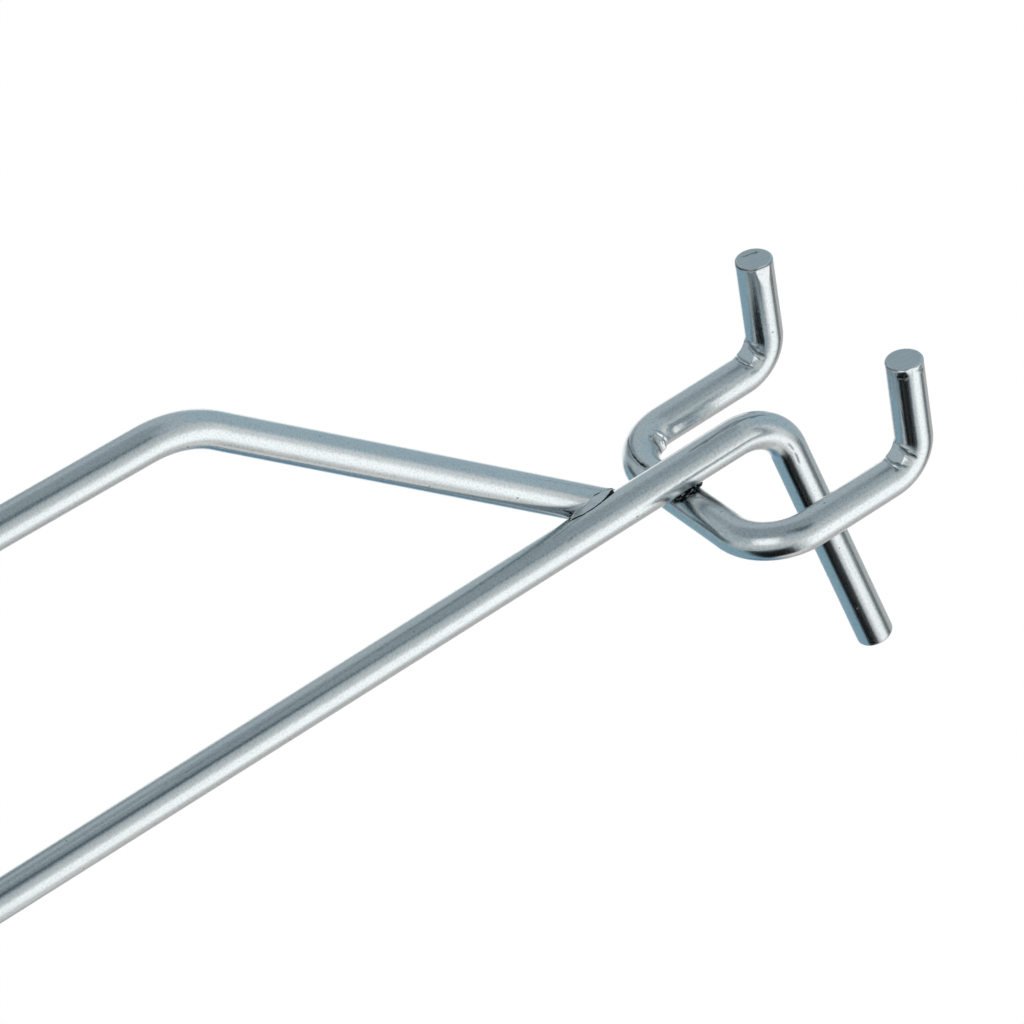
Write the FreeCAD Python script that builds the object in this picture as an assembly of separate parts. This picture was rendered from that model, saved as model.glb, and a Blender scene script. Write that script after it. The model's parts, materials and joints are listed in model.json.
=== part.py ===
# Welded wire hook for pegboard: a lower arm that carries the goods, a yoke with two upturned
# prongs that grips the board, and a label arm above the lower arm. All three are bent from one
# size of round steel wire and are resistance welded where they cross.
#
# The frame is the hook as it hangs: +Z up, +Y into the board. The origin is on the board's front
# face, midway between the two holes that the prongs go through.
import FreeCAD
import Part
import math
import os

# Driving dimensions, in millimetres and degrees
WIRE_DIAMETER = 4.0
END_CHAMFER = 0.25

# The board, and how the hook stands on it
PRONG_PITCH = 25.4          # between the prongs, one hole spacing of the board
ARM_TILT = 10.0             # the arms and the prongs rise towards the front, off square to the board
STAND_OFF = 14.7            # board face to the middle of the crossbar, along a prong

# Prong yoke
PRONG_REACH = 4.9           # board face to the corner of a tip, along a prong
TIP_LENGTH = 12.7           # that corner to the tip's end
TIP_LEAN = 15.0             # the tips lean away from the board
TIP_INSIDE_RADIUS = 2.0
YOKE_INSIDE_RADIUS = 4.0
PRESS_WIDTH = 1.8           # flat that the bending tool left inside each tip's bend
PRESS_DEPTH = 0.12

# Lower arm
ARM_LENGTH = 150.0          # board face to the front end, along the arm
ARM_OFFSET = -0.8           # the arm was welded a little to one side of the yoke's middle
LEG_LENGTH = 33.8           # corner of the rear bend to the end of the leg that lies on the board
LEG_INSIDE_RADIUS = 4.0

# Label arm
LABEL_REACH = 150.0         # board face to the front end, along the lower arm
LABEL_SETBACK = 9.0         # crossbar to the place where the label arm crosses the lower arm
LABEL_OVERLAP = 3.0         # how far the foot runs past the middle of the lower arm
LABEL_RISE = 55.5           # from that crossing to the corner of the upper bend
LABEL_RISE_ANGLE = 42.0     # slope of the rise, off the lower arm
LABEL_FRONT_ANGLE = 2.0     # slope of the front run, off the lower arm
LABEL_INSIDE_RADIUS = 10.5

# Welds: how far each pair of wires was pressed together, and the metal that came out
YOKE_SINK = 0.2
LABEL_SINK = 1.0
FLASH_HEIGHT = 0.35

# Worked out from the dimensions above
WIRE_RADIUS = WIRE_DIAMETER / 2
TILT = math.radians(ARM_TILT)
LEAN = math.radians(TIP_LEAN)
ARM_HEIGHT = WIRE_DIAMETER - YOKE_SINK
LABEL_OFFSET = ARM_OFFSET - (WIRE_DIAMETER - LABEL_SINK)

# Directions: across the board, down its face, along and square to the arm, and along a tip
SIDEWAYS = FreeCAD.Vector(1, 0, 0)
DOWN = FreeCAD.Vector(0, 0, -1)
FORWARD = FreeCAD.Vector(0, -math.cos(TILT), math.sin(TILT))
ABOVE = FreeCAD.Vector(0, math.sin(TILT), math.cos(TILT))
TIP = FreeCAD.Vector(0, math.sin(LEAN), math.cos(LEAN))


def place(across, ahead, above):
    """A point given sideways, ahead of the board along a prong, and square above the prongs."""
    return SIDEWAYS * across + FORWARD * ahead + ABOVE * above


def slope(degrees):
    """The direction that rises by an angle off the lower arm, in its own upright plane."""
    angle = math.radians(degrees)
    return FORWARD * math.cos(angle) + ABOVE * math.sin(angle)


# The back of the rear leg lies on the board's face, and that fixes where the arm turns down
CORNER_AHEAD = (WIRE_RADIUS + ARM_HEIGHT * math.sin(TILT)) / math.cos(TILT)
ARM_CORNER = place(ARM_OFFSET, CORNER_AHEAD, ARM_HEIGHT)
ARM_FRONT = place(ARM_OFFSET, ARM_LENGTH, ARM_HEIGHT)


def disc(centre, direction, radius):
    return Part.Face(Part.Wire(Part.makeCircle(radius, centre, direction)))


def unit(start, end):
    return (end - start).normalize()


def end_cone(end, inward):
    """The chamfered last bit of a wire, from its end face to its full diameter."""
    return Part.makeCone(WIRE_RADIUS - END_CHAMFER, WIRE_RADIUS, END_CHAMFER, end, inward)


def bent_wire(corners, inside_radii):
    """A wire of straight runs and tangent bends, made run by run as a bending machine feeds it."""
    first = unit(corners[0], corners[1])
    last = unit(corners[-1], corners[-2])
    solids = [end_cone(corners[0], first), end_cone(corners[-1], last)]
    start = corners[0] + first * END_CHAMFER
    for before, corner, after, inside in zip(corners, corners[1:], corners[2:], inside_radii):
        incoming = unit(before, corner)
        outgoing = unit(corner, after)
        turn = incoming.getAngle(outgoing)
        radius = inside + WIRE_RADIUS
        trim = radius * math.tan(turn / 2)
        bend_start = corner - incoming * trim
        axis = incoming.cross(outgoing).normalize()
        centre = bend_start + axis.cross(incoming) * radius
        solids.append(disc(start, incoming, WIRE_RADIUS).extrude(bend_start - start))
        solids.append(disc(bend_start, incoming, WIRE_RADIUS).revolve(centre, axis, math.degrees(turn)))
        start = corner + outgoing * trim
    finish = corners[-1] + last * END_CHAMFER
    solids.append(disc(start, finish - start, WIRE_RADIUS).extrude(finish - start))
    return solids[0].multiFuse(solids[1:]).removeSplitter()


def flash_around(run_start, run_end):
    """Metal pressed out along the line where a run of wire crosses the lower arm."""
    radius = WIRE_RADIUS + FLASH_HEIGHT
    run = disc(run_start, run_end - run_start, radius).extrude(run_end - run_start)
    arm = disc(ARM_CORNER, FORWARD, radius).extrude(ARM_FRONT - ARM_CORNER)
    return run.common(arm)


def press_mark(corner):
    """The nose of the bending tool, standing in the inside of a tip's bend."""
    backward = -FORWARD
    inwards = (TIP - backward).normalize()
    along = (TIP + backward).normalize()
    half_turn = backward.getAngle(TIP) / 2
    centre_distance = (TIP_INSIDE_RADIUS + WIRE_RADIUS) / math.cos(half_turn)
    nose = corner + inwards * (centre_distance - TIP_INSIDE_RADIUS - PRESS_DEPTH)
    start = nose - along * (PRESS_WIDTH / 2) - SIDEWAYS * WIRE_RADIUS
    edge = Part.makeLine(start, start + along * PRESS_WIDTH)
    return edge.extrude(SIDEWAYS * WIRE_DIAMETER).extrude(inwards * (TIP_INSIDE_RADIUS + PRESS_DEPTH))


def make_lower_arm():
    leg_end = ARM_CORNER + DOWN * LEG_LENGTH
    return bent_wire([ARM_FRONT, ARM_CORNER, leg_end], [LEG_INSIDE_RADIUS])


def make_prong_yoke(lower_arm):
    sides = []
    for across in (-PRONG_PITCH / 2, PRONG_PITCH / 2):
        tip_corner = place(across, -PRONG_REACH, 0)
        front_corner = place(across, STAND_OFF, 0)
        sides.append([tip_corner + TIP * TIP_LENGTH, tip_corner, front_corner])
    left, right = sides
    half_radii = [TIP_INSIDE_RADIUS, YOKE_INSIDE_RADIUS]
    yoke = bent_wire(left + right[::-1], half_radii + half_radii[::-1])
    for tip_end, tip_corner, front_corner in sides:
        yoke = yoke.cut(press_mark(tip_corner))
    return yoke.fuse(flash_around(left[-1], right[-1])).cut(lower_arm)


def make_label_arm(lower_arm):
    rise = slope(LABEL_RISE_ANGLE)
    front = slope(LABEL_FRONT_ANGLE)
    crossing = place(LABEL_OFFSET, STAND_OFF + LABEL_SETBACK, ARM_HEIGHT)
    foot = crossing - rise * LABEL_OVERLAP
    bend = crossing + rise * LABEL_RISE
    bend_ahead = bend.dot(FORWARD)
    front_end = bend + front * ((LABEL_REACH - bend_ahead) / front.dot(FORWARD))
    arm = bent_wire([front_end, bend, foot], [LABEL_INSIDE_RADIUS])
    return arm.fuse(flash_around(foot, bend)).cut(lower_arm)


def main():
    lower_arm = make_lower_arm()
    nodes = {
        "lower_arm": lower_arm,
        "prong_yoke": make_prong_yoke(lower_arm),
        "label_arm": make_label_arm(lower_arm),
    }
    os.makedirs("parts", exist_ok=True)
    for name, shape in nodes.items():
        solid = shape.removeSplitter()
        print(name, "solids", len(solid.Solids), "valid", solid.isValid(), "mm3", round(solid.Volume, 2))
        solid.exportStep("parts/" + name + ".step")


main()
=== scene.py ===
# %% [markdown]
# # A welded wire hook for pegboard
# Three lengths of drawn steel wire, bent cold, welded where they cross and then plated with bright
# zinc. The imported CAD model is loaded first, as a fixed frame. It has the true sizes, so every length
# that it knows is read from it, and only what the eye needs is added on top.

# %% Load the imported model
import bmesh
import bpy
import json
import math
from mathutils import Matrix, Vector, noise


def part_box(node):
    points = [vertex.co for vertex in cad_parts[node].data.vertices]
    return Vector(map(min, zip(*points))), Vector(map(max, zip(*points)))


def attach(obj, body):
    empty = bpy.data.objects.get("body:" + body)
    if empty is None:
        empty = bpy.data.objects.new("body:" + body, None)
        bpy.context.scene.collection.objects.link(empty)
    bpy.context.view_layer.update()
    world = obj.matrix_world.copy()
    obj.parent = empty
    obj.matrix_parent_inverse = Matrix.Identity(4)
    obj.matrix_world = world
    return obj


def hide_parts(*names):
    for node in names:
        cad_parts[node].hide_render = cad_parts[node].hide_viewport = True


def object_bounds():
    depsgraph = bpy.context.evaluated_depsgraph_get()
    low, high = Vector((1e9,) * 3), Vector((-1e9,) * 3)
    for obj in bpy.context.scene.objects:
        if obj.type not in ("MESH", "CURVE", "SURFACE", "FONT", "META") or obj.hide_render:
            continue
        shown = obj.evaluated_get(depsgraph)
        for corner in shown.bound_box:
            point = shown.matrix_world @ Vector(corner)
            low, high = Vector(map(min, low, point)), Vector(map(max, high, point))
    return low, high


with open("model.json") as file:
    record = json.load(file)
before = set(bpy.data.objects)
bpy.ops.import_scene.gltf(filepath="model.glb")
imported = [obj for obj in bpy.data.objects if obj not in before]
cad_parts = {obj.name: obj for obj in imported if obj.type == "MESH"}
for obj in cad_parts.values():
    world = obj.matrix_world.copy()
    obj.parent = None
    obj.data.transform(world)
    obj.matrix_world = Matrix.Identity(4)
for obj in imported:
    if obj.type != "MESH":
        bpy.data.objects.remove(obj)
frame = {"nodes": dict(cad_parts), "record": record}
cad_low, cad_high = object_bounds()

MM = 0.001
print("CAD nodes", sorted(frame["nodes"]), "size in mm", [round(v / MM, 2) for v in cad_high - cad_low])

# %% [markdown]
# ## Where the wires run
# The record's mounts hold the middle, the direction and the radius of the straight runs, and each
# node's box holds its outer faces. The corners could be typed in again, but then a change of size in
# the CAD model would leave them behind. Two straight lines give a corner, so the path of a wire comes
# from those few numbers. The bends' radii are those of the pins in the bending shop.

# %% Sizes and directions of the wires
mounts = {mount["name"]: mount for mount in frame["record"]["mounts"]}
WIRE_RADIUS = mounts["goods_arm"]["dims"]["r_mm"] * MM
END_ROUND = 0.25 * MM
TIP_INSIDE_RADIUS = 2.0 * MM
YOKE_INSIDE_RADIUS = 4.0 * MM
LEG_INSIDE_RADIUS = 4.0 * MM
LABEL_INSIDE_RADIUS = 10.5 * MM
LABEL_RISE_ANGLE = math.radians(42.0)
LABEL_LEG = 58.5 * MM

SIDEWAYS = Vector((1, 0, 0))
FORWARD = Vector(mounts["goods_arm"]["axis"])
ABOVE = FORWARD.cross(SIDEWAYS)
TIP = Vector(mounts["left_prong_tip"]["axis"])
print("wire of", round(2 * WIRE_RADIUS / MM, 2), "mm, arm runs along", [round(v, 3) for v in FORWARD])


# %% Corners of the lower arm and of the yoke
def run_end(mount, way):
    """The cut end of a straight run: its mount covers the run up to the rounded rim."""
    half = mount["dims"]["length_mm"] * MM / 2 + END_ROUND
    return Vector(mount["pos_m"]) + way * half


arm_front = Vector(mounts["goods_arm"]["pos_m"])
arm_low, arm_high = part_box("lower_arm")
leg_axis_y = arm_high.y - WIRE_RADIUS
arm_corner = arm_front + FORWARD * ((leg_axis_y - arm_front.y) / FORWARD.y)
leg_end = Vector((arm_front.x, leg_axis_y, arm_low.z))

yoke_low, yoke_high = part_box("prong_yoke")
crossbar_ahead = (yoke_low.y + WIRE_RADIUS) / FORWARD.y
prongs = []
for side in ("left_prong_tip", "right_prong_tip"):
    tip_end = run_end(mounts[side], TIP)
    tip_corner = tip_end - TIP * (tip_end.dot(ABOVE) / TIP.dot(ABOVE))
    front_corner = SIDEWAYS * tip_end.x + FORWARD * crossbar_ahead
    prongs.append([tip_end, tip_corner, front_corner])
print("crossbar", round(crossbar_ahead / MM, 2), "mm ahead of the board")

# %% Corners of the label arm
label_way = Vector(mounts["label_arm_front"]["axis"])
label_rise = FORWARD * math.cos(LABEL_RISE_ANGLE) + ABOVE * math.sin(LABEL_RISE_ANGLE)
label_front = run_end(mounts["label_arm_front"], label_way)
label_trim = (LABEL_INSIDE_RADIUS + WIRE_RADIUS) * math.tan(label_rise.angle(label_way) / 2)
label_corner = run_end(mounts["label_arm_front"], -label_way) - label_way * (label_trim - END_ROUND)
label_foot = label_corner - label_rise * LABEL_LEG
print("label arm's foot at", [round(v / MM, 2) for v in label_foot], "mm")

# %% [markdown]
# ## A bending machine in code
# A bending machine feeds straight wire through a die and turns it round a pin. A curve with a round
# bevel would look much the same, but it forgets where a point was before bending. So the machine's two
# moves build the mesh: a loop of vertices is extruded for a feed and spun for a bend. Every vertex
# keeps its place on the straight wire in an attribute named unbent, so that drawing lines and scratches
# follow the wire round its bends.

# %% A wire and its newest loop
AROUND = 128


class Wire:
    """One length of wire in the machine, made loop by loop from its first cut end."""

    def __init__(self, end, heading, fine_from):
        self.bm = bmesh.new()
        self.unbent = self.bm.verts.layers.float_vector.new("unbent")
        # how dark each vertex is drawn: for scores, scratches, rims and dents, and also as painted shade in
        # creases, beside a bead and round the yoke's weld, and as a painted dark reflection beside that
        # weld
        self.dark_marks_and_painted_shade = self.bm.verts.layers.float.new("dark_marks_and_painted_shade")
        self.at = end.copy()
        self.heading = heading.normalized()
        self.fed = 0.0
        self.fine_from = fine_from
        facing = self.heading.to_track_quat("Z", "Y").to_matrix()
        place = Matrix.Translation(end) @ facing.to_4x4()
        face_radius = WIRE_RADIUS - END_ROUND
        made = bmesh.ops.create_circle(
            self.bm, cap_ends=True, segments=AROUND, radius=face_radius, matrix=place)
        self.verts = made["verts"]
        self.start_face = self.bm.faces[:][0]
        self.loop = list(dict.fromkeys(edge for vert in self.verts for edge in vert.link_edges))
        for vert in self.verts:
            flat = facing.transposed() @ (vert.co - end) * (WIRE_RADIUS / face_radius / MM)
            vert[self.unbent] = Vector((0, flat.x, flat.y))


print("a loop has", AROUND, "vertices,", round(2 * math.pi * WIRE_RADIUS / AROUND / MM, 3), "mm apart")


# %% Go on from the newest loop
def take(wire, made):
    """Makes the loop that an operator has just added the one to go on from."""
    wire.verts = [item for item in made if isinstance(item, bmesh.types.BMVert)]
    fresh = set(wire.verts)
    edges = [item for item in made if isinstance(item, bmesh.types.BMEdge)]
    wire.loop = [edge for edge in edges if fresh.issuperset(edge.verts)]


def measure(wire, distance):
    """Writes the length of wire fed so far, in millimetres, into the newest loop."""
    wire.fed += distance
    for vert in wire.verts:
        flat = vert[wire.unbent]
        vert[wire.unbent] = Vector((wire.fed / MM, flat.y, flat.z))


def move(wire, distance):
    take(wire, bmesh.ops.extrude_edge_only(wire.bm, edges=wire.loop)["geom"])
    bmesh.ops.translate(wire.bm, verts=wire.verts, vec=wire.heading * distance)
    wire.at += wire.heading * distance
    measure(wire, distance)


# %% Feed straight wire
COARSE_STEP = 1.0 * MM
FINE_STEP = 0.2 * MM


def feed(wire, distance):
    """Long steps first, and fine ones from where tool marks will need them."""
    coarse = min(distance, max(0.0, wire.fine_from - wire.fed))
    for length, step in ((coarse, COARSE_STEP), (distance - coarse, FINE_STEP)):
        if length > 0:
            move(wire, length)
            across = set(wire.loop)
            lengthwise = [edge for vert in wire.verts for edge in vert.link_edges if edge not in across]
            bmesh.ops.subdivide_edges(wire.bm, edges=lengthwise, cuts=math.ceil(length / step) - 1)
            wire.loop = [edge for edge in wire.bm.edges if edge.is_boundary]
            wire.verts = list(dict.fromkeys(vert for edge in wire.loop for vert in edge.verts))


print("feeds are cut every", COARSE_STEP / MM, "mm, or every", FINE_STEP / MM, "mm under tool marks")

# %% Turn it round a pin
BEND_STEP = math.radians(1.25)


def bend(wire, outgoing, inside_radius):
    turn = wire.heading.angle(outgoing)
    axis = wire.heading.cross(outgoing).normalized()
    radius = inside_radius + WIRE_RADIUS
    centre = wire.at + axis.cross(wire.heading) * radius
    steps = round(turn / BEND_STEP)
    for step in range(steps):
        made = bmesh.ops.spin(wire.bm, geom=wire.verts + wire.loop, cent=centre, axis=axis,
                              angle=turn / steps, steps=1)
        take(wire, made["geom_last"])
        measure(wire, radius * turn / steps)
    wire.at = centre + Matrix.Rotation(turn, 3, axis) @ (wire.at - centre)
    wire.heading = outgoing.copy()


print("bends are spun in steps of", round(math.degrees(BEND_STEP), 2), "degrees")

# %% [markdown]
# ## Cut ends
# A cropped wire has a flat face with a small round rim, where the plating is thickest and catches the
# light. A bevel on the finished end would do it too. Here the rim is a few short feeds, each with a
# change of radius, because a feed also writes the attribute. The face itself is inset ring by ring, so
# that it has vertices for the marks that the blades leave.

# %% Rims and end faces
RIM_STEPS = 5
FACE_RINGS = 10


def round_rim(wire, way):
    """A quarter round from the end face to the full radius, or back again when way is -1."""
    angles = [math.pi / 2 * step / RIM_STEPS for step in range(RIM_STEPS + 1)]
    if way < 0:
        angles.reverse()
    for before, after in zip(angles, angles[1:]):
        move(wire, abs(math.cos(before) - math.cos(after)) * END_ROUND)
        radii = [WIRE_RADIUS - END_ROUND + END_ROUND * math.sin(angle) for angle in (before, after)]
        grow = radii[1] / radii[0]
        bmesh.ops.scale(wire.bm, verts=wire.verts, vec=(grow,) * 3, space=Matrix.Translation(-wire.at))


def ring_face(wire, face):
    """Insets a cut face ring by ring. Its faces get the second material, that of a cropped end."""
    face.material_index = 1
    step = (WIRE_RADIUS - END_ROUND) / (FACE_RINGS + 1)
    for left in range(FACE_RINGS, 0, -1):
        for ring in bmesh.ops.inset_region(wire.bm, faces=[face], thickness=step)["faces"]:
            ring.material_index = 1
        shrink = left / (left + 1)
        for vert in face.verts:
            flat = vert[wire.unbent]
            vert[wire.unbent] = Vector((flat.x, flat.y * shrink, flat.z * shrink))


print("rim of", END_ROUND / MM, "mm in", RIM_STEPS, "steps, end faces of", FACE_RINGS, "rings")


# %% Cut the wire off, and bend one from end to end
def cut(wire):
    round_rim(wire, -1)
    end_face = bmesh.ops.edgeloop_fill(wire.bm, edges=wire.loop)["faces"][0]
    bmesh.ops.recalc_face_normals(wire.bm, faces=wire.bm.faces)
    ring_face(wire, wire.start_face)
    ring_face(wire, end_face)
    for face in wire.bm.faces:
        face.smooth = True
    wire.bm.normal_update()
    wire.by_mm = {}
    for vert in wire.bm.verts:
        wire.by_mm.setdefault(int(vert[wire.unbent].x), []).append(vert)


def between(wire, low, high):
    """The vertices of a stretch of wire, given in millimetres along it."""
    return [vert for mm in range(int(low), int(high) + 1) for vert in wire.by_mm.get(mm, [])]


def bend_wire(corners, inside_radii, fine_from):
    """A wire along straight runs that meet at these corners, with a tangent bend at each."""
    wire = Wire(corners[0], corners[1] - corners[0], fine_from)
    round_rim(wire, 1)
    for corner, after, inside in zip(corners[1:], corners[2:], inside_radii):
        outgoing = (after - corner).normalized()
        trim = (inside + WIRE_RADIUS) * math.tan(wire.heading.angle(outgoing) / 2)
        feed(wire, (corner - wire.at).length - trim)
        bend(wire, outgoing, inside)
    feed(wire, (corners[-1] - wire.at).length - END_ROUND)
    cut(wire)
    print("wire of", round(wire.fed / MM, 1), "mm,", len(wire.bm.faces), "faces")
    return wire


# %% [markdown]
# ## Tool marks
# Shop tools leave marks on a wire: scores where it slid, wrinkles on the inside of a tight bend, and
# flats where a nose or a blade pressed it. Bump in a material could draw them, but they are real shapes
# that also show on the outline, so the vertices are moved instead. A score is given in unbent terms, as
# millimetres along the wire and degrees round it. A flat is a plane: metal that stands proud of it is
# pushed back to it.

# %% Scores
LUMPS_PER_MM = 2.6
END_RISE = 5
END_LEFT = 0.15


def groove(wire, verts, flat_place, start, end, width, height, lumps, dark):
    """A line between two flat places, raised by height or sunk where it is negative, and darkened."""
    run = end - start
    for vert in verts:
        point = flat_place(vert[wire.unbent]) - start
        share = min(1.0, max(0.0, point.dot(run) / run.length_squared))
        off = (point - run * share).length / width
        if off < 1:
            rough = 1 + lumps * noise.noise(vert[wire.unbent] * LUMPS_PER_MM)
            fade = min(1.0, END_RISE * share * (1 - share) + END_LEFT)
            swell = (1 - off * off) ** 2 * fade * rough
            vert.co += vert.normal * (height * MM * swell)
            vert[wire.dark_marks_and_painted_shade] = max(vert[wire.dark_marks_and_painted_shade], dark * swell)


def score(wire, start, end, width, height, lumps, dark):
    """A groove on the skin of a wire. Its ends are given as mm along and degrees round."""
    radius = WIRE_RADIUS / MM

    def unrolled(unbent):
        turn = math.atan2(unbent.z, unbent.y) - math.radians(start[1])
        turn = (turn + math.pi) % (2 * math.pi) - math.pi
        return Vector((unbent.x, radius * turn))

    flat_start = Vector((start[0], 0.0))
    flat_end = Vector((end[0], radius * math.radians(end[1] - start[1])))
    low, high = sorted((start[0], end[0]))
    verts = between(wire, low - width, high + width)
    groove(wire, verts, unrolled, flat_start, flat_end, width, height, lumps, dark)


print("lumps in a score are about", round(1 / LUMPS_PER_MM, 2), "mm long")


# %% Flats
def press_flat(wire, stretch, point, facing, near):
    """Pushes metal that stands proud of a plane back to it. near says which places the tool met."""
    moved = 0
    for vert in between(wire, *stretch):
        proud = (vert.co - point).dot(facing)
        if proud > 0 and near(vert.co):
            vert.co -= facing * proud
            moved += 1
    print("pressed", moved, "vertices flat")


# %% [markdown]
# ## Bright zinc plating on drawn wire
# The finished hook is plated with a few thousandths of a millimetre of zinc and dipped in a clear blue
# passivate. The eye sees a cool grey metal with a satin shine. The die's drawing lines run along the
# wire, the plating adds a soft ripple and a fine grain, and tumbling adds pits and hairline scratches. A
# picture of metal could be wrapped on, but it would stretch in the bends. Noise that reads the unbent
# attribute follows the wire at its true scale.

# %% Colours and nodes
# a Mix node has a set of sockets for each kind of data, and these are the places of the colours
MIX_FROM = 6
MIX_TO = 7
MIX_OUT = 2


def linear(hex_colour):
    """An sRGB hex colour as the linear values that shaders work with."""
    parts = [int(hex_colour[i:i + 2], 16) / 255 for i in (1, 3, 5)]
    return tuple(v / 12.92 if v <= 0.04045 else ((v + 0.055) / 1.055) ** 2.4 for v in parts) + (1.0,)


def add_node(tree, kind, settings, inputs):
    """Adds a node. An input is a plain value, or the socket that it is linked from."""
    made = tree.nodes.new(kind)
    for name, value in settings.items():
        setattr(made, name, value)
    for socket, value in inputs.items():
        if isinstance(value, bpy.types.NodeSocket):
            tree.links.new(value, made.inputs[socket])
        else:
            made.inputs[socket].default_value = value
    return made


def new_material(name):
    made = bpy.data.materials.new(name)
    made.use_nodes = True
    made.node_tree.nodes.clear()
    return made, made.node_tree


print("zinc #DBDFDF in linear light", [round(v, 3) for v in linear("#DBDFDF")[:3]])

# %% The plating's colour
# cool grey that drifts a little from patch to patch, with a frost of slightly darker grains
FILM_PATCH = 9.0
GRAIN = 0.25  # real grains are a few hundredths of a millimetre: drawn coarser, so that they show

zinc_wire, tree = new_material("bright_zinc_on_drawn_wire")
skin = add_node(tree, "ShaderNodeAttribute", {"attribute_name": "unbent"}, {}).outputs["Vector"]
film = add_node(tree, "ShaderNodeTexNoise", {}, {"Vector": skin, "Scale": 1 / FILM_PATCH, "Detail": 3.0})
tint = add_node(tree, "ShaderNodeMix", {"data_type": "RGBA"}, {
    "Factor": film.outputs["Fac"], MIX_FROM: linear("#DBDFDF"), MIX_TO: linear("#CDD4D7")})
grain = add_node(tree, "ShaderNodeTexNoise", {}, {"Vector": skin, "Scale": 1 / GRAIN, "Detail": 1.0})
frost = add_node(tree, "ShaderNodeMapRange", {}, {
    "Value": grain.outputs["Fac"], "From Min": 0.3, "From Max": 0.55, "To Min": 0.36, "To Max": 0.0})
tint = add_node(tree, "ShaderNodeMix", {"data_type": "RGBA"}, {
    "Factor": frost.outputs[0], MIX_FROM: tint.outputs[MIX_OUT], MIX_TO: linear("#A9B2B5")})
print("grains of", GRAIN, "mm on film patches of", FILM_PATCH, "mm")

# %% Drawing lines, ripple, pits and hairlines
DRAW_LINE = 0.22  # real drawing lines are finer: drawn coarser, so that they show
DRAW_LENGTH = 30.0
RIPPLE = 1.3
PIT_SPACING = 2.4
SCRATCH_SPACING = 2.2

along = add_node(tree, "ShaderNodeMapping", {}, {"Vector": skin, "Scale": (DRAW_LINE / DRAW_LENGTH, 1, 1)})
draw = add_node(tree, "ShaderNodeTexNoise", {}, {
    "Vector": along.outputs[0], "Scale": 1 / DRAW_LINE, "Detail": 2.0})
ripple = add_node(tree, "ShaderNodeTexNoise", {}, {"Vector": skin, "Scale": 1 / RIPPLE, "Detail": 2.0})
pit_cells = add_node(tree, "ShaderNodeTexVoronoi", {}, {"Vector": skin, "Scale": 1 / PIT_SPACING})
pits = add_node(tree, "ShaderNodeMapRange", {"interpolation_type": "SMOOTHSTEP"}, {
    "Value": pit_cells.outputs["Distance"],
    "From Min": 0.025, "From Max": 0.06, "To Min": 1.0, "To Max": 0.0})
slant = add_node(tree, "ShaderNodeMapping", {}, {
    "Vector": skin, "Rotation": (0.0, 0.25, 0.35), "Scale": (0.12, 1.0, 1.0)})
cracks = add_node(tree, "ShaderNodeTexVoronoi", {"feature": "DISTANCE_TO_EDGE"}, {
    "Vector": slant.outputs[0], "Scale": 1 / SCRATCH_SPACING})
hairlines = add_node(tree, "ShaderNodeMapRange", {}, {
    "Value": cracks.outputs["Distance"], "From Min": 0.0, "From Max": 0.02, "To Min": 1.0, "To Max": 0.0})
patches = add_node(tree, "ShaderNodeMapRange", {}, {
    "Value": film.outputs["Fac"], "From Min": 0.5, "From Max": 0.62, "To Min": 0.0, "To Max": 1.0})
scratches = add_node(tree, "ShaderNodeMath", {"operation": "MULTIPLY"}, {
    0: hairlines.outputs[0], 1: patches.outputs[0]})
print("drawing lines", DRAW_LINE, "mm apart, pits about", PIT_SPACING, "mm apart")

# %% The plating's shader
# the pits are drawn darker, and so is every vertex that the darkness attribute marks: scores, scratches,
# rims and dents, and also painted shade in creases, beside the bead and round the yoke's weld, and a
# painted dark reflection beside that weld. The drawing lines streak the shine
DARK_MARK_AND_SHADE = "#20272B"
PIT_DARKNESS = 0.55

dark_marks_and_painted_shade = add_node(tree, "ShaderNodeAttribute", {"attribute_name": "dark_marks_and_painted_shade"}, {}).outputs["Fac"]
pit_mark_and_shade_share = add_node(tree, "ShaderNodeMath", {"operation": "MULTIPLY_ADD", "use_clamp": True}, {
    0: pits.outputs[0], 1: PIT_DARKNESS, 2: dark_marks_and_painted_shade})
colour = add_node(tree, "ShaderNodeMix", {"data_type": "RGBA"}, {
    "Factor": pit_mark_and_shade_share.outputs[0], MIX_FROM: tint.outputs[MIX_OUT], MIX_TO: linear(DARK_MARK_AND_SHADE)})
shine = add_node(tree, "ShaderNodeMapRange", {}, {
    "Value": draw.outputs["Fac"], "From Min": 0.3, "From Max": 0.7, "To Min": 0.17, "To Max": 0.26})

# pattern, its height in mm, and whether it is sunk
relief = [
    (ripple.outputs["Fac"], 0.007, False),
    (draw.outputs["Fac"], 0.003, False),
    (grain.outputs["Fac"], 0.006, False),
    (pits.outputs[0], 0.02, True),
    (scratches.outputs[0], 0.006, True),
]
below = {}
for pattern, height, sunk in relief:
    bump = add_node(tree, "ShaderNodeBump", {"invert": sunk}, {
        "Strength": 1.0, "Distance": height * MM, "Height": pattern, **below})
    below = {"Normal": bump.outputs[0]}
zinc = add_node(tree, "ShaderNodeBsdfPrincipled", {}, {
    "Base Color": colour.outputs[MIX_OUT], "Metallic": 1.0, "Roughness": shine.outputs[0], **below})
add_node(tree, "ShaderNodeOutputMaterial", {}, {"Surface": zinc.outputs["BSDF"]})
print(zinc_wire.name, len(tree.nodes), "nodes")

# %% [markdown]
# ## Sheared ends
# The wire is cropped between two blades. The cut face is a torn surface with fine steps across it, so
# the zinc on it scatters light, and the eye sees a flat, even grey next to the shiny skin. The steps
# could be cut into the mesh, but they are finer than its rings, so noise that is drawn out one way
# stands for them.

# %% Zinc on a cropped end
# matt pale grey with faint stripes, and dark where a blade scratched it
TEAR_STEP = 0.25
TEAR_HEIGHT = 0.015 * MM

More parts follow.
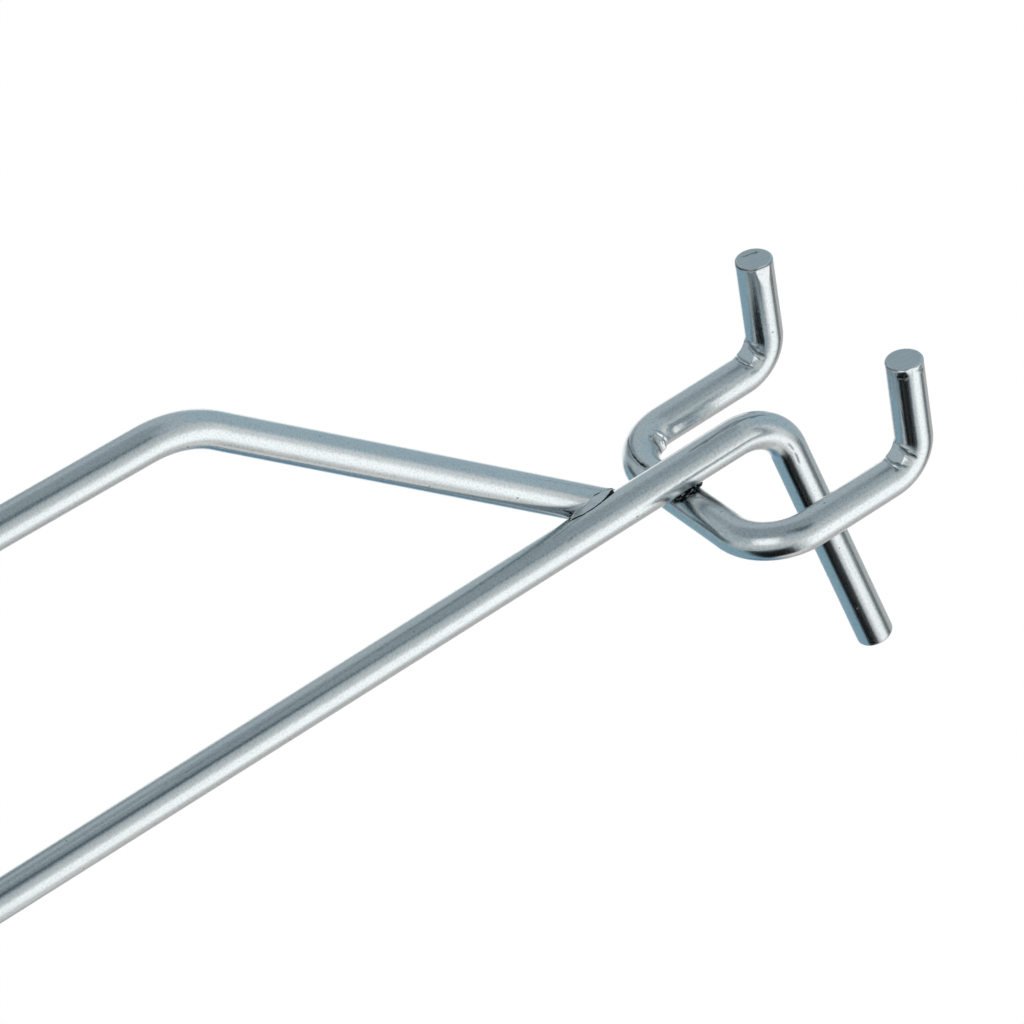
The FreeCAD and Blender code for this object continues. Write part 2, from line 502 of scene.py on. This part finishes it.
sheared_end, tree = new_material("zinc_on_a_cropped_end")
skin = add_node(tree, "ShaderNodeAttribute", {"attribute_name": "unbent"}, {}).outputs["Vector"]
across = add_node(tree, "ShaderNodeMapping", {}, {
    "Vector": skin, "Rotation": (0.5, 0.0, 0.0), "Scale": (1.0, 1.0, 0.12)})
tears = add_node(tree, "ShaderNodeTexNoise", {}, {
    "Vector": across.outputs[0], "Scale": 1 / TEAR_STEP, "Detail": 4.0})
tone = add_node(tree, "ShaderNodeMix", {"data_type": "RGBA"}, {
    "Factor": tears.outputs["Fac"], MIX_FROM: linear("#D6DBDC"), MIX_TO: linear("#B4BFC4")})
dark_marks_and_painted_shade = add_node(tree, "ShaderNodeAttribute", {"attribute_name": "dark_marks_and_painted_shade"}, {}).outputs["Fac"]
tone = add_node(tree, "ShaderNodeMix", {"data_type": "RGBA"}, {
    "Factor": dark_marks_and_painted_shade, MIX_FROM: tone.outputs[MIX_OUT], MIX_TO: linear(DARK_MARK_AND_SHADE)})
bump = add_node(tree, "ShaderNodeBump", {}, {
    "Strength": 1.0, "Distance": TEAR_HEIGHT, "Height": tears.outputs["Fac"]})
zinc = add_node(tree, "ShaderNodeBsdfPrincipled", {}, {
    "Base Color": tone.outputs[MIX_OUT], "Metallic": 1.0, "Roughness": 0.5, "Normal": bump.outputs[0]})
add_node(tree, "ShaderNodeOutputMaterial", {}, {"Surface": zinc.outputs["BSDF"]})
print(sheared_end.name, len(tree.nodes), "nodes")

# %% [markdown]
# ## Weld scale and painted crevice shade
# The welds were made before plating. Zinc takes badly on scorched steel, so the metal that was pressed out
# stays nearly black in its creases, with bright specks of plating on its high points. Its near black also
# stands for the shade in the crevices round the welds, so it is partly painted shade. Two materials on
# hand-picked faces would give hard borders. One noise drives the colour and the bump together instead,
# so that the high points are also the bright ones.

# %% Scorched steel and painted crevice shade, with specks of zinc
# near black and half dull, which is scale and also painted crevice shade, with long bright specks that run
# along the squeezed metal
SPECK = 0.22
SPECK_LENGTH = 1.1
SPECK_HEIGHT = 0.06 * MM

welding_scale_and_shade, tree = new_material("painted_crevice_shade_and_welding_scale_with_zinc_specks")
place = add_node(tree, "ShaderNodeTexCoord", {}, {}).outputs["Object"]
drawn = add_node(tree, "ShaderNodeMapping", {}, {
    "Vector": place, "Scale": (1.0, SPECK / SPECK_LENGTH, 1.0)})
lumps = add_node(tree, "ShaderNodeTexNoise", {}, {
    "Vector": drawn.outputs[0], "Scale": 1 / (SPECK * MM), "Detail": 3.0})
specks = add_node(tree, "ShaderNodeMapRange", {}, {
    "Value": lumps.outputs["Fac"], "From Min": 0.55, "From Max": 0.61, "To Min": 0.0, "To Max": 1.0})
colour = add_node(tree, "ShaderNodeMix", {"data_type": "RGBA"}, {
    "Factor": specks.outputs[0], MIX_FROM: linear("#12171A"), MIX_TO: linear("#D6DBDC")})
bump = add_node(tree, "ShaderNodeBump", {}, {
    "Strength": 1.0, "Distance": SPECK_HEIGHT, "Height": lumps.outputs["Fac"]})
scale_and_shade_metal = add_node(tree, "ShaderNodeBsdfPrincipled", {}, {
    "Base Color": colour.outputs[MIX_OUT], "Metallic": 1.0, "Roughness": 0.4, "Normal": bump.outputs[0]})
add_node(tree, "ShaderNodeOutputMaterial", {}, {"Surface": scale_and_shade_metal.outputs["BSDF"]})
print(welding_scale_and_shade.name, len(tree.nodes), "nodes")

# %% [markdown]
# ## The lower arm
# One long wire carries the goods, and its leg is turned down at the back to lie on the board. The rear
# bend was pulled over a pin, which left fine scores along the top of the bend. They are a fifth of a
# millimetre wide, so only the rear of the wire gets fine steps.

# %% Bend and mark the lower arm
ARM_FINE_FROM = 118 * MM
ARM_SCORE_DARK = 0.6

arm_wire = bend_wire([arm_front, arm_corner, leg_end], [LEG_INSIDE_RADIUS], ARM_FINE_FROM)
# start and end as mm along and degrees round, half width and height in mm
arm_scores = [
    ((136.6, 100), (139.6, 97), 0.16, -0.040),
    ((138.2, 104), (141.0, 95), 0.16, -0.045),
    ((139.4, 96), (142.4, 101), 0.15, -0.040),
    ((140.6, 92), (143.4, 97), 0.16, -0.045),
    ((141.8, 104), (144.4, 99), 0.15, -0.040),
    ((142.6, 97), (145.6, 105), 0.16, -0.045),
    ((143.8, 107), (145.2, 101), 0.14, -0.035),
    ((148.2, 182), (149.6, 186), 0.18, -0.050),
    ((149.9, 187), (151.6, 191), 0.18, -0.050),
]
for start, end, width, height in arm_scores:
    score(arm_wire, start, end, width, height, 0.0, ARM_SCORE_DARK)
print(len(arm_scores), "scores on the rear bend")

# %% [markdown]
# ## The prong yoke
# A second wire is bent into a U. Its crossbar lies under the lower arm, and its two tips turn up behind
# the board. The tips' bends are tight, so the nose of the bending tool pressed a flat into the inside of
# each, with a low lip of pushed-up metal on both sides. A boolean cut would leave no lip, so the
# vertices are moved.

# %% Bend the yoke and press the tips
PRESS_WIDTH = 1.8 * MM
PRESS_DEPTH = 0.28 * MM
PRESS_LIP = 0.45 * MM
LIP_HEIGHT = 0.10 * MM
LIP_RISE = 0.3 * MM
TIP_STRETCH = 22

left, right = prongs
yoke_radii = [TIP_INSIDE_RADIUS, YOKE_INSIDE_RADIUS, YOKE_INSIDE_RADIUS, TIP_INSIDE_RADIUS]
yoke_wire = bend_wire(left + right[::-1], yoke_radii, 0.0)
yoke_length = yoke_wire.fed / MM
tip_stretches = ((0, TIP_STRETCH), (yoke_length - TIP_STRETCH, yoke_length))

inwards = (TIP + FORWARD).normalized()
chord = (TIP - FORWARD).normalized()
half_turn = TIP.angle(-FORWARD) / 2
saddle_depth = (TIP_INSIDE_RADIUS + WIRE_RADIUS) / math.cos(half_turn) - TIP_INSIDE_RADIUS
for (tip_end, tip_corner, front_corner), stretch in zip(prongs, tip_stretches):
    nose = tip_corner + inwards * (saddle_depth - PRESS_DEPTH)

    def under_nose(place):
        off = place - nose
        return abs(off.dot(chord)) < PRESS_WIDTH / 2 and off.length < 2 * WIRE_RADIUS

    for vert in between(yoke_wire, *stretch):
        off = vert.co - nose
        beside = (abs(off.dot(chord)) - PRESS_WIDTH / 2) / PRESS_LIP
        proud = off.dot(inwards)
        if 0 < beside < 1 and proud > 0 and off.length < 2 * WIRE_RADIUS:
            vert.co += inwards * (LIP_HEIGHT * (1 - beside) ** 2 * min(1.0, proud / LIP_RISE))
    press_flat(yoke_wire, stretch, nose, inwards, under_nose)

# %% [markdown]
# ## Blade flats
# The blade that cropped each tip also leaned on its side, and left a slanted flat below the rim. It is
# the bright wedge that the eye sees on the tip. A plane that leans by the flat's depth over its length
# does the same to the mesh.

# %% Lean the blades on the tips
behind = TIP.cross(SIDEWAYS) * -1
# tip, degrees that the blade is turned to the back, length and depth of its flat
blade_flats = [
    (left[0], -8, 2.3 * MM, 0.20 * MM),
    (right[0], -14, 0.7 * MM, 0.16 * MM),
]
for (tip_end, turn, length, depth), stretch in zip(blade_flats, tip_stretches):
    angle = math.radians(turn)
    outward = SIDEWAYS * math.cos(angle) - behind * math.sin(angle)
    point = tip_end - TIP * length + outward * WIRE_RADIUS
    facing = (outward + TIP * (depth / length)).normalized()
    reach = length + WIRE_RADIUS
    press_flat(yoke_wire, stretch, point, facing, lambda place: (place - tip_end).length < reach)

# %% [markdown]
# ## Wrinkles and scratches of the yoke
# Metal was squeezed into a bright bead on the inside of the yoke's left corner, and a tool scratched the
# corner's top. A recess beside the bead is darkened as its painted shadow. There are creases beside the
# press marks, with painted shade in them, thin dark lines round the sheared rims, dents below the right
# tip's rim, and a painted dark reflection beside the weld. Sculpting by hand would give such marks too,
# but a short list of lines can be read and mended.

# %% Mark the yoke
# start and end as mm along and degrees round, half width and height in mm, lumps, darkness
yoke_marks = {
    "bead inside the left corner, with its painted shadow": [
        ((28.95, 62), (28.75, -20), 0.75, 0.36, 0.4, 0.0),
        ((28.60, 66), (28.45, -20), 0.40, 0.14, 0.6, 0.0),
        ((28.40, 58), (27.20, 18), 0.34, 0.20, 0.5, 0.0),
        ((27.20, 18), (26.80, -14), 0.34, 0.14, 0.4, 0.0),
        # a recess beside the bead, darkened as the bead's painted shadow
        ((29.55, 50), (29.45, -20), 0.38, -0.08, 0.0, 0.75),
    ],
    "scratch over the left corner": [
        ((29.30, 121), (31.50, 112), 0.13, -0.05, 0.0, 0.6),
        ((31.20, 113), (34.70, 106), 0.22, -0.11, 0.6, 0.9),
        ((33.60, 107), (34.70, 106), 0.30, -0.13, 0.4, 1.0),
    ],
    # the sunk lines are darkened as painted shade in the creases
    "creases with painted shade beside the left press mark": [
        ((10.40, 104), (11.50, 26), 0.20, -0.16, 0.0, 0.85),
        ((10.85, 100), (11.95, 34), 0.20, 0.08, 0.0, 0.0),
        ((14.75, 92), (13.50, 40), 0.18, -0.12, 0.0, 0.6),
        ((14.95, 84), (14.20, 52), 0.20, 0.07, 0.0, 0.0),
    ],
    # the sunk lines are darkened as painted shade in the creases
    "creases with painted shade beside the right press mark": [
        ((71.85, 80), (70.70, 158), 0.20, -0.18, 0.0, 0.9),
        ((71.40, 84), (70.25, 150), 0.20, 0.08, 0.0, 0.0),
        ((67.90, 86), (69.40, 150), 0.18, -0.12, 0.0, 0.7),
        ((67.60, 92), (68.70, 136), 0.20, 0.07, 0.0, 0.0),
    ],
    "dark lines of the sheared rims": [
        ((0.15, 116), (0.15, -44), 0.14, -0.03, 0.0, 1.0),
        ((81.93, 78), (81.93, 132), 0.10, -0.03, 0.0, 0.8),
    ],
    "dents below the right rim": [
        ((81.22, 138), (81.34, 172), 0.34, -0.08, 0.0, 0.0),
        ((81.34, 168), (81.22, 214), 0.34, -0.09, 0.0, 0.0),
        # these two lines also darken the metal below the rim, and the second only darkens it and does not
        # change its shape
        ((81.20, 120), (81.02, 152), 0.24, -0.07, 0.6, 1.0),
        ((80.90, 122), (80.72, 148), 0.24, 0.0, 0.8, 0.9),
    ],
    # a dark smear with no change of shape: a painted reflection of the lower arm's dark underside and weld
    "painted dark reflection beside the weld": [
        ((40.80, 74), (46.00, 60), 1.00, 0.0, 0.4, 0.75),
    ],
}
for mark, lines in yoke_marks.items():
    for line in lines:
        score(yoke_wire, *line)
    print(mark, len(lines), "lines")

# %% [markdown]
# ## Settle the press marks and scratch the left tip
# Where a flat, a lip and a crease meet, moved vertices can pass each other and fold a face over. A few
# rounds of smoothing there open such folds, and round the sharp edges as rolling metal does. The
# last mark is a scratch across the left tip's cut face, with a deeper nick where it ends.

# %% Settle and scratch
PRESSED_FROM = 9
PRESSED_TO = 16
SETTLE_ROUNDS = 4
FACE_DEPTH = 0.001

for stretch in ((PRESSED_FROM, PRESSED_TO), (yoke_length - PRESSED_TO, yoke_length - PRESSED_FROM)):
    for settle_round in range(SETTLE_ROUNDS):
        bmesh.ops.smooth_vert(yoke_wire.bm, verts=between(yoke_wire, *stretch), factor=0.5,
                              use_axis_x=True, use_axis_y=True, use_axis_z=True)

# start and end as flat mm off the middle of the face, half width and height in mm, darkness
face_scratches = [
    ((-1.25, 0.95), (-0.80, -1.15), 0.14, -0.05, 0.75),
    ((-0.86, -0.80), (-0.78, -1.15), 0.22, -0.08, 1.0),
]
face_verts = [vert for vert in between(yoke_wire, 0, 0) if vert[yoke_wire.unbent].x < FACE_DEPTH]
for start, end, width, height, dark in face_scratches:
    groove(yoke_wire, face_verts, lambda unbent: unbent.yz, Vector(start), Vector(end),
           width, height, 0.0, dark)
print("scratched the left tip's face, which has", len(face_verts), "vertices")

# %% [markdown]
# ## The label arm
# The third wire rises from the side of the lower arm and runs level above it, to carry a price label.
# Its one bend is wide and shows no mark, so it is bent and left as it is.

# %% Bend the label arm
LABEL_FINE_FROM = 125 * MM
label_wire = bend_wire([label_front, label_corner, label_foot], [LABEL_INSIDE_RADIUS], LABEL_FINE_FROM)

# %% [markdown]
# ## Scorch marks and painted shade by the weld
# Heat and scale darken the wires right beside the yoke's weld, and the same dark ring is also the
# painted shade of the crevice where the wires meet the collar. The darkening could be painted by hand.
# Here each vertex gets it from its distance to the weld's oval ring, in the same attribute as the scores'
# darkness.

# %% Write the weld's scale and painted shade into the darkness attribute
WELD_SINK = 0.1 * MM
COLLAR_HALF_ACROSS = 1.35 * MM
COLLAR_HALF_AHEAD = 1.75 * MM
SCORCH_AND_SHADE_WIDTH = 0.35 * MM
SCORCH_AND_SHADE_HEIGHT = 0.8 * MM
weld_centre = SIDEWAYS * arm_front.x + FORWARD * crossbar_ahead + ABOVE * (WIRE_RADIUS - WELD_SINK)


# a dark ring round the weld: scale from the heat, and painted shade of the crevice at the collar
def weld_scorch_and_shade(place):
    off = place - weld_centre
    ring = math.hypot(off.dot(SIDEWAYS) / COLLAR_HALF_ACROSS, off.dot(FORWARD) / COLLAR_HALF_AHEAD)
    near = abs(off.dot(ABOVE)) < SCORCH_AND_SHADE_HEIGHT
    return 1 - abs(ring - 1) * COLLAR_HALF_ACROSS / SCORCH_AND_SHADE_WIDTH if near else 0.0


scorched_and_shaded = 0
for wire, stretch in ((arm_wire, (120, 145)), (yoke_wire, (34, 48))):
    for vert in between(wire, *stretch):
        dark = weld_scorch_and_shade(vert.co)
        if dark > vert[wire.dark_marks_and_painted_shade]:
            vert[wire.dark_marks_and_painted_shade] = dark
            scorched_and_shaded += 1
print(scorched_and_shaded, "vertices burnt by the yoke's weld")


# %% Hand the wires over
def finish_piece(bm, name, materials, node=None):
    """Turns a bmesh into a piece of the hook that rides on its only body."""
    mesh = bpy.data.meshes.new(name)
    bm.to_mesh(mesh)
    bm.free()
    for material in materials:
        mesh.materials.append(material)
    piece = bpy.data.objects.new(name, mesh)
    bpy.context.scene.collection.objects.link(piece)
    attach(piece, "root")
    if node:
        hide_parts(node)
    print(name, len(mesh.polygons), "faces")


finish_piece(arm_wire.bm, "lower_arm_wire", [zinc_wire, sheared_end], "lower_arm")
finish_piece(yoke_wire.bm, "prong_yoke_wire", [zinc_wire, sheared_end], "prong_yoke")
finish_piece(label_wire.bm, "label_arm_wire", [zinc_wire, sheared_end], "label_arm")

# %% [markdown]
# ## The yoke's weld
# The two wires were pressed together hot, and a thin collar of metal squeezed out of the joint all
# round. A torus would do for its body, but the collar has to follow the saddle between two crossed
# wires. So a small circle is spun once round, roughened, and then stretched and bent to that saddle.

# %% Spin the collar
COLLAR_RADIUS = 0.30 * MM
COLLAR_SIDES = 14
COLLAR_STEPS = 96
COLLAR_LUMP = 0.6 * MM
COLLAR_LUMP_HEIGHT = 0.10 * MM
DOUBLE = 0.001 * MM

collar_bm = bmesh.new()
upright = Matrix((SIDEWAYS, ABOVE, SIDEWAYS.cross(ABOVE))).transposed().to_4x4()
collar_start = Matrix.Translation(weld_centre + SIDEWAYS * COLLAR_HALF_ACROSS) @ upright
bmesh.ops.create_circle(collar_bm, segments=COLLAR_SIDES, radius=COLLAR_RADIUS, matrix=collar_start)
bmesh.ops.spin(collar_bm, geom=collar_bm.verts[:] + collar_bm.edges[:], cent=weld_centre, axis=ABOVE,
               angle=2 * math.pi, steps=COLLAR_STEPS, use_merge=True)
bmesh.ops.remove_doubles(collar_bm, verts=collar_bm.verts, dist=DOUBLE)
bmesh.ops.recalc_face_normals(collar_bm, faces=collar_bm.faces)
collar_bm.normal_update()
for vert in collar_bm.verts:
    vert.co += vert.normal * (COLLAR_LUMP_HEIGHT * noise.noise(vert.co / COLLAR_LUMP))
for vert in collar_bm.verts:
    off = vert.co - weld_centre
    across, ahead = off.dot(SIDEWAYS), off.dot(FORWARD)
    vert.co += FORWARD * (ahead * (COLLAR_HALF_AHEAD / COLLAR_HALF_ACROSS - 1))
    vert.co += ABOVE * ((across ** 2 - ahead ** 2) / (4 * WIRE_RADIUS))
for face in collar_bm.faces:
    face.smooth = True
# the collar's near black is scale, and also painted shade of the crevices round the weld
finish_piece(collar_bm, "yoke_weld_collar", [welding_scale_and_shade])

# %% [markdown]
# ## The label arm's weld
# Here the wires lie side by side, and the metal came out on top as a lens-shaped tongue, bright on its
# flat face and scorched round its edge, where the crevices beside the wires lie in shade. One shape with a
# painted border would do from afar. Two thin lenses, a bright one on a slightly larger dark one, keep the
# border crisp up close. The dark one is scale and also painted shade of those crevices.

# %% Where the tongue lies
TONGUE_MIDDLE = Vector((-1.62, -23.50, 10.16)) * MM
TONGUE_TURN = -0.09
TONGUE_LEAN = 0.10
tongue_along = (-FORWARD + SIDEWAYS * TONGUE_TURN).normalized()
tongue_up = (ABOVE + SIDEWAYS * TONGUE_LEAN).normalized()
tongue_across = tongue_up.cross(tongue_along).normalized()
tongue_axes = Matrix((tongue_along, tongue_across, tongue_along.cross(tongue_across))).transposed()
print("tongue's middle at", [round(v / MM, 2) for v in TONGUE_MIDDLE], "mm")

# %% Extrude the tongue and its dark edge of scale and painted shade
TONGUE_HALF_LENGTH = 2.75 * MM
TONGUE_HALF_WIDTH = 0.62 * MM
TONGUE_THICKNESS = 0.55 * MM
TONGUE_TAPER = 0.35
TONGUE_SIDES = 72
TONGUE_BEVEL = 0.05 * MM
TONGUE_RINGS = 5
TONGUE_RIPPLE = 0.9 * MM
RIM_BAND = 0.1 * MM
RIM_SIDES = 8
TONGUE_RIPPLE_HEIGHT = 0.05 * MM
EDGE_RIPPLE_HEIGHT = 0.03 * MM
EDGE_GROW = 0.24 * MM
EDGE_DROP = 0.05 * MM


def weld_tongue(name, grow, drop, material, ripple_height):
    bm = bmesh.new()
    unbent = bm.verts.layers.float_vector.new("unbent")
    made = bmesh.ops.create_circle(bm, cap_ends=True, segments=TONGUE_SIDES, radius=1.0)
    for vert in made["verts"]:
        taper = 1 - TONGUE_TAPER * vert.co.x ** 2
        vert.co.x *= TONGUE_HALF_LENGTH + grow
        vert.co.y *= (TONGUE_HALF_WIDTH + grow) * taper
    body = bmesh.ops.extrude_face_region(bm, geom=bm.faces[:])["geom"]
    sunk = [item for item in body if isinstance(item, bmesh.types.BMVert)]
    bmesh.ops.translate(bm, verts=sunk, vec=(0, 0, -TONGUE_THICKNESS))
    bmesh.ops.recalc_face_normals(bm, faces=bm.faces)
    rim = [edge for edge in bm.edges if all(vert.co.z > -RIM_BAND for vert in edge.verts)]
    bmesh.ops.bevel(bm, geom=rim, offset=TONGUE_BEVEL, affect="EDGES", segments=3, profile=0.5, material=-1)
    wide = [face for face in bm.faces if len(face.verts) > RIM_SIDES]
    top = [face for face in wide if face.calc_center_median().z > -RIM_BAND]
    for ring in range(TONGUE_RINGS):
        # an inset by a distance would fold over itself in the lens's narrow ends, so the ring is scaled
        bmesh.ops.inset_region(bm, faces=top, thickness=0.0)
        inner = list(dict.fromkeys(vert for face in top for vert in face.verts))
        shrink = (TONGUE_RINGS - ring) / (TONGUE_RINGS + 1 - ring)
        bmesh.ops.scale(bm, verts=inner, vec=(shrink, shrink, 1.0))
    for vert in bm.verts:
        if vert.co.z > -TONGUE_THICKNESS / 2:
            vert.co.z += ripple_height * noise.noise(vert.co / TONGUE_RIPPLE)
        vert[unbent] = vert.co / MM
    for face in bm.faces:
        face.smooth = True
    bmesh.ops.transform(bm, matrix=tongue_axes.to_4x4(), verts=bm.verts)
    bmesh.ops.translate(bm, verts=bm.verts, vec=TONGUE_MIDDLE - tongue_up * drop)
    finish_piece(bm, name, [material])


weld_tongue("label_weld_tongue", 0.0, 0.0, zinc_wire, TONGUE_RIPPLE_HEIGHT)
# the larger dark lens: scale round the tongue, and painted shade of the crevices beside it
weld_tongue("label_weld_scorched_and_shaded_edge", EDGE_GROW, EDGE_DROP, welding_scale_and_shade, EDGE_RIPPLE_HEIGHT)

# %% [markdown]
# ## The camera
# The photograph looks down on the hook from the front right, from about a metre away and through a long
# lens, so that the wires hardly taper. A camera could be aimed by eye. Its place and its axes were
# fitted to the outline of the wires instead, because a wire shows every tenth of a millimetre, and they
# are written down here as they came out.

# %% Camera
EYE = Vector((653.677, -257.889, 638.740)) * MM
RIGHT = Vector((0.576101, 0.745454, -0.33527))
UP = Vector((-0.416533, 0.620668, 0.664283))
camera_data = bpy.data.cameras.new("photo_camera")
camera_data.lens = 327.09
camera_data.sensor_width = 36.0
camera_data.clip_end = 100.0
camera = bpy.data.objects.new("photo_camera", camera_data)
axes = Matrix((RIGHT, UP, RIGHT.cross(UP))).transposed()
camera.matrix_world = Matrix.Translation(EYE) @ axes.to_4x4()
bpy.context.scene.collection.objects.link(camera)
bpy.context.scene.camera = camera
bpy.context.scene.view_settings.view_transform = "Standard"
print("camera", round(EYE.length / MM), "mm from the board's middle, lens", round(camera_data.lens), "mm")

# %% [markdown]
# ## Floor and background
# The hook hangs in front of plain white. A sweep of matt white paper lies far below it and takes its
# soft shadow. A bright lamp could bleach the paper, but it would bleach the hook too. So the floor and
# the world answer rays from the camera, and rays of gloss and glass, with plain white, and light matt
# surfaces evenly.


# %% Paper sweep
# matt white paper: nearly all of what the camera sees is its own plain white, the rest takes the shadow
FLOOR_DROP = 600 * MM
FLOOR_HALF = 20.0
PLAIN_SHARE = 0.9
WHITE = linear("#FFFFFF")


def seen_rays(tree):
    """1 for rays from the camera and for rays of gloss and glass, and 0 for those that only light."""
    path = add_node(tree, "ShaderNodeLightPath", {}, {})
    seen = add_node(tree, "ShaderNodeMath", {"operation": "MAXIMUM"}, {
        0: path.outputs["Is Camera Ray"], 1: path.outputs["Is Glossy Ray"]})
    seen = add_node(tree, "ShaderNodeMath", {"operation": "MAXIMUM"}, {
        0: seen.outputs[0], 1: path.outputs["Is Transmission Ray"]})
    return seen.outputs[0]


def stage_sheet(bm, name, material):
    """Puts a sheet of the studio in place, which is no part of the hook."""
    mesh = bpy.data.meshes.new(name)
    bm.to_mesh(mesh)
    bm.free()
    mesh.materials.append(material)
    sheet = bpy.data.objects.new(name, mesh)
    bpy.context.scene.collection.objects.link(sheet)
    return sheet


paper, tree = new_material("white_paper_sweep")
share = add_node(tree, "ShaderNodeMath", {"operation": "MULTIPLY"}, {0: seen_rays(tree), 1: PLAIN_SHARE})
matt = add_node(tree, "ShaderNodeBsdfDiffuse", {}, {"Color": linear("#F4F4F4")})
plain = add_node(tree, "ShaderNodeEmission", {}, {"Color": WHITE, "Strength": 1.0})
mix = add_node(tree, "ShaderNodeMixShader", {}, {
    0: share.outputs[0], 1: matt.outputs[0], 2: plain.outputs[0]})
add_node(tree, "ShaderNodeOutputMaterial", {}, {"Surface": mix.outputs[0]})
floor_bm = bmesh.new()
floor_place = Matrix.Translation((0, 0, cad_low.z - FLOOR_DROP))
bmesh.ops.create_grid(floor_bm, x_segments=1, y_segments=1, size=FLOOR_HALF, matrix=floor_place)
stage_sheet(floor_bm, "paper_sweep", paper)
print("paper sweep", round(FLOOR_DROP / MM), "mm below the hook")

# %% World
WORLD_LIGHT = 1.1

world = bpy.data.worlds.new("studio")
world.use_nodes = True
tree = world.node_tree
tree.nodes.clear()
soft = add_node(tree, "ShaderNodeBackground", {}, {"Color": WHITE, "Strength": WORLD_LIGHT})
white = add_node(tree, "ShaderNodeBackground", {}, {"Color": WHITE, "Strength": 1.0})
mix = add_node(tree, "ShaderNodeMixShader", {}, {
    0: seen_rays(tree), 1: soft.outputs[0], 2: white.outputs[0]})
add_node(tree, "ShaderNodeOutputWorld", {}, {"Surface": mix.outputs[0]})
bpy.context.scene.world = world
print("world lights at", WORLD_LIGHT, "and shows white")

# %% [markdown]
# ## The light tent
# Bright metal has hardly any colour of its own: it shows what stands round it. Shiny goods are
# photographed in a tent of pale cloth with soft lamps, dark cards and gaps, and these make the long
# bright and dark streaks on the wires. They could be set up sheet by sheet. One sphere is lighter work:
# each panel is a range of directions with a soft edge, painted on the sphere's vertices, and the cloth
# glows with that colour. Only reflections meet the tent, so it hides nothing and throws no shadow.

# %% The tent's panels
TENT_CLOTH = "#B8C4CA"
# name: from and to azimuth, from and to elevation, soft edge, all in degrees; colour and strength
panels = {
    "under_card": ((-200, 200), (-110, -40), 8, "#CBC8C5", 1.0),
    "high_card": ((-200, 200), (48, 110), 10, "#98A5AB", 1.0),
    "blue_wall": ((140, 232), (-28, 38), 10, "#ADC1CB", 1.0),
    "pale_wall": ((-16, 158), (-4, 36), 10, "#D2D6D6", 1.0),
    "blue_card": ((-82, 14), (-78, -5), 6, "#93B2C1", 1.0),
    "blue_corner": ((-70, -10), (-82, -54), 8, "#6A90AB", 1.0),
    "paper_behind": ((-134, -74), (-64, 2), 8, "#FFFFFF", 1.20),
    "panel_halo": ((64, 160), (-74, 20), 18, "#EDEEEE", 1.0),
    "white_panel": ((78, 136), (-58, 6), 16, "#FFFFFF", 1.38),
    "rear_card": ((136, 174), (-66, -28), 8, "#6E777B", 1.0),
    "black_card": ((0, 70), (-66, -2), 10, "#000000", 1.0),
    "foot_panel": ((10, 86), (-82, -58), 6, "#F4F2EF", 1.0),
    "side_card": ((-108, -74), (8, 50), 8, "#818C91", 1.0),
    "low_slot": ((-72, -14), (-5, 20), 8, "#4E5C64", 1.0),
    "key_panel": ((10, 64), (20, 66), 12, "#FFFFFF", 1.35),
    "lens_card": ((94, 134), (40, 78), 8, "#4A575D", 1.0),
}


def ramp(distance, width):
    """0 at an edge, rising smoothly to 1 at this distance from it."""
    share = min(1.0, max(0.0, distance / width))
    return share * share * (3 - 2 * share)


def panel_share(turns, rises, edge, turn, rise):
    """How much of a panel covers this direction of the tent."""
    off = abs((turn - sum(turns) / 2 + 180) % 360 - 180)
    sides = ramp((turns[1] - turns[0]) / 2 - off, edge)
    return sides * ramp(rise - rises[0], edge) * ramp(rises[1] - rise, edge)


print(len(panels), "soft panels on cloth of", TENT_CLOTH)

# %% Paint the tent and let it glow
# pale cloth and panels that shine with their own colour, evenly and without any gloss
TENT_RADIUS = 500 * MM
TENT_SEGMENTS = 180
TENT_RINGS = 90

tent_bm = bmesh.new()
glow_layer = tent_bm.verts.layers.float_color.new("glow")
bmesh.ops.create_uvsphere(tent_bm, u_segments=TENT_SEGMENTS, v_segments=TENT_RINGS, radius=TENT_RADIUS)
cloth = Vector(linear(TENT_CLOTH)[:3])
lights = [(*panel[:3], Vector(linear(panel[3])[:3]) * panel[4]) for panel in panels.values()]
for vert in tent_bm.verts:
    turn = math.degrees(math.atan2(vert.co.x, -vert.co.y))
    rise = math.degrees(math.asin(max(-1.0, min(1.0, vert.co.z / TENT_RADIUS))))
    glow = cloth
    for turns, rises, edge, colour in lights:
        glow = glow.lerp(colour, panel_share(turns, rises, edge, turn, rise))
    vert[glow_layer] = (*glow, 1.0)

tent_cloth, tree = new_material("light_tent_cloth")
painted = add_node(tree, "ShaderNodeAttribute", {"attribute_name": "glow"}, {})
light = add_node(tree, "ShaderNodeEmission", {}, {"Color": painted.outputs["Color"], "Strength": 1.0})
add_node(tree, "ShaderNodeOutputMaterial", {}, {"Surface": light.outputs[0]})
tent = stage_sheet(tent_bm, "light_tent", tent_cloth)
for ray in ("camera", "diffuse", "transmission", "shadow", "volume_scatter"):
    setattr(tent, "visible_" + ray, False)
print("tent of", round(TENT_RADIUS / MM), "mm radius, which only reflections meet")
